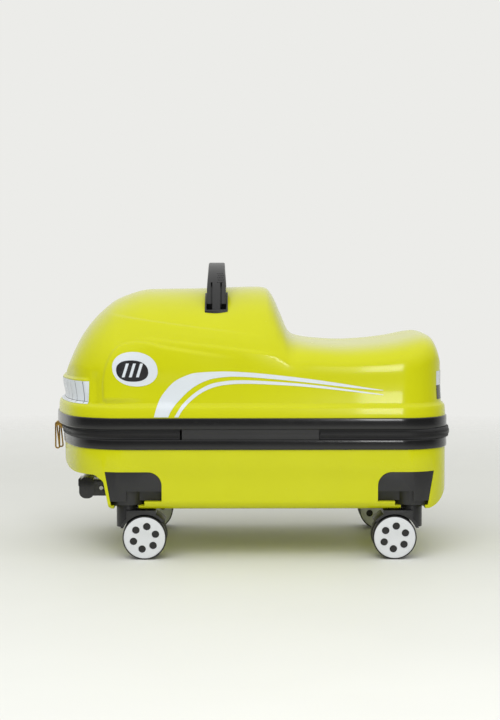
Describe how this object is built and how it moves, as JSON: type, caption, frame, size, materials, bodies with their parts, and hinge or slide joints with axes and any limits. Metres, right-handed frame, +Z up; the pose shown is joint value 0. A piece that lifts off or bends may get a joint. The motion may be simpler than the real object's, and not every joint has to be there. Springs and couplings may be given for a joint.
{
  "type": "ride-on suitcase",
  "caption": "Ride-on hard-shell suitcase shaped like a toy car, with a dome, a saddle seat, spinner casters, a zipped lid, a carry handle and a pull-out trolley grip.",
  "frame": {"origin": "on the floor under the middle of the case", "axes": "+Z up, -X towards the nose, -Y towards the hinge side"},
  "size_m": [0.4633, 0.28, 0.3357],
  "materials": {
    "yellow_shell": "glossy moulded shell",
    "black_trim": "semi-gloss extruded trim",
    "zip_fabric": "woven zip tape",
    "lining_fabric": "woven polyester lining",
    "black_plastic": "fine-grained moulding",
    "screw_steel": "zinc-plated",
    "tube_aluminium": "anodised tube",
    "zip_brass": "bright plated wire",
    "tyre_black": "smooth tread",
    "cap_white": "satin moulded disc"
  },
  "bodies": {
    "base": {"lower_shell": "yellow_shell", "lower_trim": "black_trim", "zip_half_lower": "zip_fabric", "hinge_strip": "zip_fabric", "base_lining": "lining_fabric", "trolley_cover": "black_plastic", "trolley_clamp": "black_plastic", "trolley_bushings": "black_plastic", "trolley_outer_tubes": "tube_aluminium", "swivel_pins": "screw_steel", "caster_screws": "screw_steel", "caster_housing_front_near": "black_plastic", "caster_housing_front_far": "black_plastic", "caster_housing_rear_near": "black_plastic", "caster_housing_rear_far": "black_plastic"},
    "lid": {"upper_shell": "yellow_shell", "upper_trim": "black_trim", "zip_half_upper": "zip_fabric", "lid_lining": "lining_fabric", "handle_cup_near": "black_plastic", "handle_cup_far": "black_plastic", "handle_screws": "screw_steel"},
    "carry_handle": {"carry_handle": "black_plastic"},
    "trolley_middle": {"trolley_middle_tubes": "tube_aluminium"},
    "trolley_grip": {"trolley_inner_tubes": "tube_aluminium", "trolley_grip": "black_plastic", "grip_screws": "screw_steel"},
    "grip_button": {"grip_button": "black_plastic", "lock_bar": "black_plastic"},
    "zip_slider_near": {"zip_slider_near": "zip_brass"},
    "zip_slider_far": {"zip_slider_far": "zip_brass"},
    "zip_pull_near": {"zip_pull_near": "zip_brass"},
    "zip_pull_far": {"zip_pull_far": "zip_brass"},
    "caster_fork_front_near": {"caster_fork_front_near": "black_plastic", "caster_axle_front_near": "screw_steel"},
    "wheel_front_near_a": {"tyre_front_near_a": "tyre_black", "wheel_cap_front_near_a": "cap_white"},
    "wheel_front_near_b": {"tyre_front_near_b": "tyre_black", "wheel_cap_front_near_b": "cap_white"},
    "caster_fork_front_far": {"caster_fork_front_far": "black_plastic", "caster_axle_front_far": "screw_steel"},
    "wheel_front_far_a": {"tyre_front_far_a": "tyre_black", "wheel_cap_front_far_a": "cap_white"},
    "wheel_front_far_b": {"tyre_front_far_b": "tyre_black", "wheel_cap_front_far_b": "cap_white"},
    "caster_fork_rear_near": {"caster_fork_rear_near": "black_plastic", "caster_axle_rear_near": "screw_steel"},
    "wheel_rear_near_a": {"tyre_rear_near_a": "tyre_black", "wheel_cap_rear_near_a": "cap_white"},
    "wheel_rear_near_b": {"tyre_rear_near_b": "tyre_black", "wheel_cap_rear_near_b": "cap_white"},
    "caster_fork_rear_far": {"caster_fork_rear_far": "black_plastic", "caster_axle_rear_far": "screw_steel"},
    "wheel_rear_far_a": {"tyre_rear_far_a": "tyre_black", "wheel_cap_rear_far_a": "cap_white"},
    "wheel_rear_far_b": {"tyre_rear_far_b": "tyre_black", "wheel_cap_rear_far_b": "cap_white"}
  },
  "joints": [
    {"name": "lid_hinge", "type": "hinge", "parent": "base", "child": "lid", "pos_m": [0, -0.14, 0.14325], "axis": [1, 0, 0], "range_deg": [0, 110], "deforming": ["hinge_strip"]},
    {"name": "carry_handle_slide", "type": "slide", "parent": "lid", "child": "carry_handle", "axis": [0, 0, 1], "range_m": [0, 0.01]},
    {"name": "trolley_lower_slide", "type": "slide", "parent": "base", "child": "trolley_middle", "axis": [-1, 0, 0], "range_m": [0, 0.24]},
    {"name": "trolley_upper_slide", "type": "slide", "parent": "trolley_middle", "child": "trolley_grip", "axis": [-1, 0, 0], "range_m": [0, 0.24]},
    {"name": "grip_button_press", "type": "slide", "parent": "trolley_grip", "child": "grip_button", "axis": [1, 0, 0], "range_m": [0, 0.004], "stiffness_N_per_m": 500, "springref_m": -0.002},
    {"name": "swivel_front_near", "type": "hinge", "parent": "base", "child": "caster_fork_front_near", "pos_m": [-0.14, -0.112, 0.062], "axis": [0, 0, 1], "continuous": true},
    {"name": "spin_front_near_a", "type": "hinge", "parent": "caster_fork_front_near", "child": "wheel_front_near_a", "pos_m": [-0.1195, -0.112, 0.025], "axis": [0, 1, 0], "continuous": true},
    {"name": "spin_front_near_b", "type": "hinge", "parent": "caster_fork_front_near", "child": "wheel_front_near_b", "pos_m": [-0.1195, -0.112, 0.025], "axis": [0, 1, 0], "continuous": true},
    {"name": "swivel_front_far", "type": "hinge", "parent": "base", "child": "caster_fork_front_far", "pos_m": [-0.14, 0.112, 0.062], "axis": [0, 0, 1], "continuous": true},
    {"name": "spin_front_far_a", "type": "hinge", "parent": "caster_fork_front_far", "child": "wheel_front_far_a", "pos_m": [-0.1195, 0.112, 0.025], "axis": [0, 1, 0], "continuous": true},
    {"name": "spin_front_far_b", "type": "hinge", "parent": "caster_fork_front_far", "child": "wheel_front_far_b", "pos_m": [-0.1195, 0.112, 0.025], "axis": [0, 1, 0], "continuous": true},
    {"name": "swivel_rear_near", "type": "hinge", "parent": "base", "child": "caster_fork_rear_near", "pos_m": [0.1855, -0.112, 0.062], "axis": [0, 0, 1], "continuous": true},
    {"name": "spin_rear_near_a", "type": "hinge", "parent": "caster_fork_rear_near", "child": "wheel_rear_near_a", "pos_m": [0.165, -0.112, 0.025], "axis": [0, 1, 0], "continuous": true},
    {"name": "spin_rear_near_b", "type": "hinge", "parent": "caster_fork_rear_near", "child": "wheel_rear_near_b", "pos_m": [0.165, -0.112, 0.025], "axis": [0, 1, 0], "continuous": true},
    {"name": "swivel_rear_far", "type": "hinge", "parent": "base", "child": "caster_fork_rear_far", "pos_m": [0.1855, 0.112, 0.062], "axis": [0, 0, 1], "continuous": true},
    {"name": "spin_rear_far_a", "type": "hinge", "parent": "caster_fork_rear_far", "child": "wheel_rear_far_a", "pos_m": [0.165, 0.112, 0.025], "axis": [0, 1, 0], "continuous": true},
    {"name": "spin_rear_far_b", "type": "hinge", "parent": "caster_fork_rear_far", "child": "wheel_rear_far_b", "pos_m": [0.165, 0.112, 0.025], "axis": [0, 1, 0], "continuous": true},
    {"name": "zip_travel_near", "type": "hinge", "parent": "base", "child": "zip_slider_near", "pos_m": [0.032, 0, 0.14325], "axis": [0, 0, 1], "range_deg": [0, 16]},
    {"name": "zip_pull_swing_near", "type": "hinge", "parent": "zip_slider_near", "child": "zip_pull_near", "pos_m": [-0.2291, -0.007, 0.14325], "axis": [0, 1, 0], "range_deg": [0, 85]},
    {"name": "zip_travel_far", "type": "hinge", "parent": "base", "child": "zip_slider_far", "pos_m": [0.032, 0, 0.14325], "axis": [0, 0, 1], "range_deg": [-16, 0]},
    {"name": "zip_pull_swing_far", "type": "hinge", "parent": "zip_slider_far", "child": "zip_pull_far", "pos_m": [-0.2291, 0.007, 0.14325], "axis": [0, 1, 0], "range_deg": [0, 85]}
  ]
}
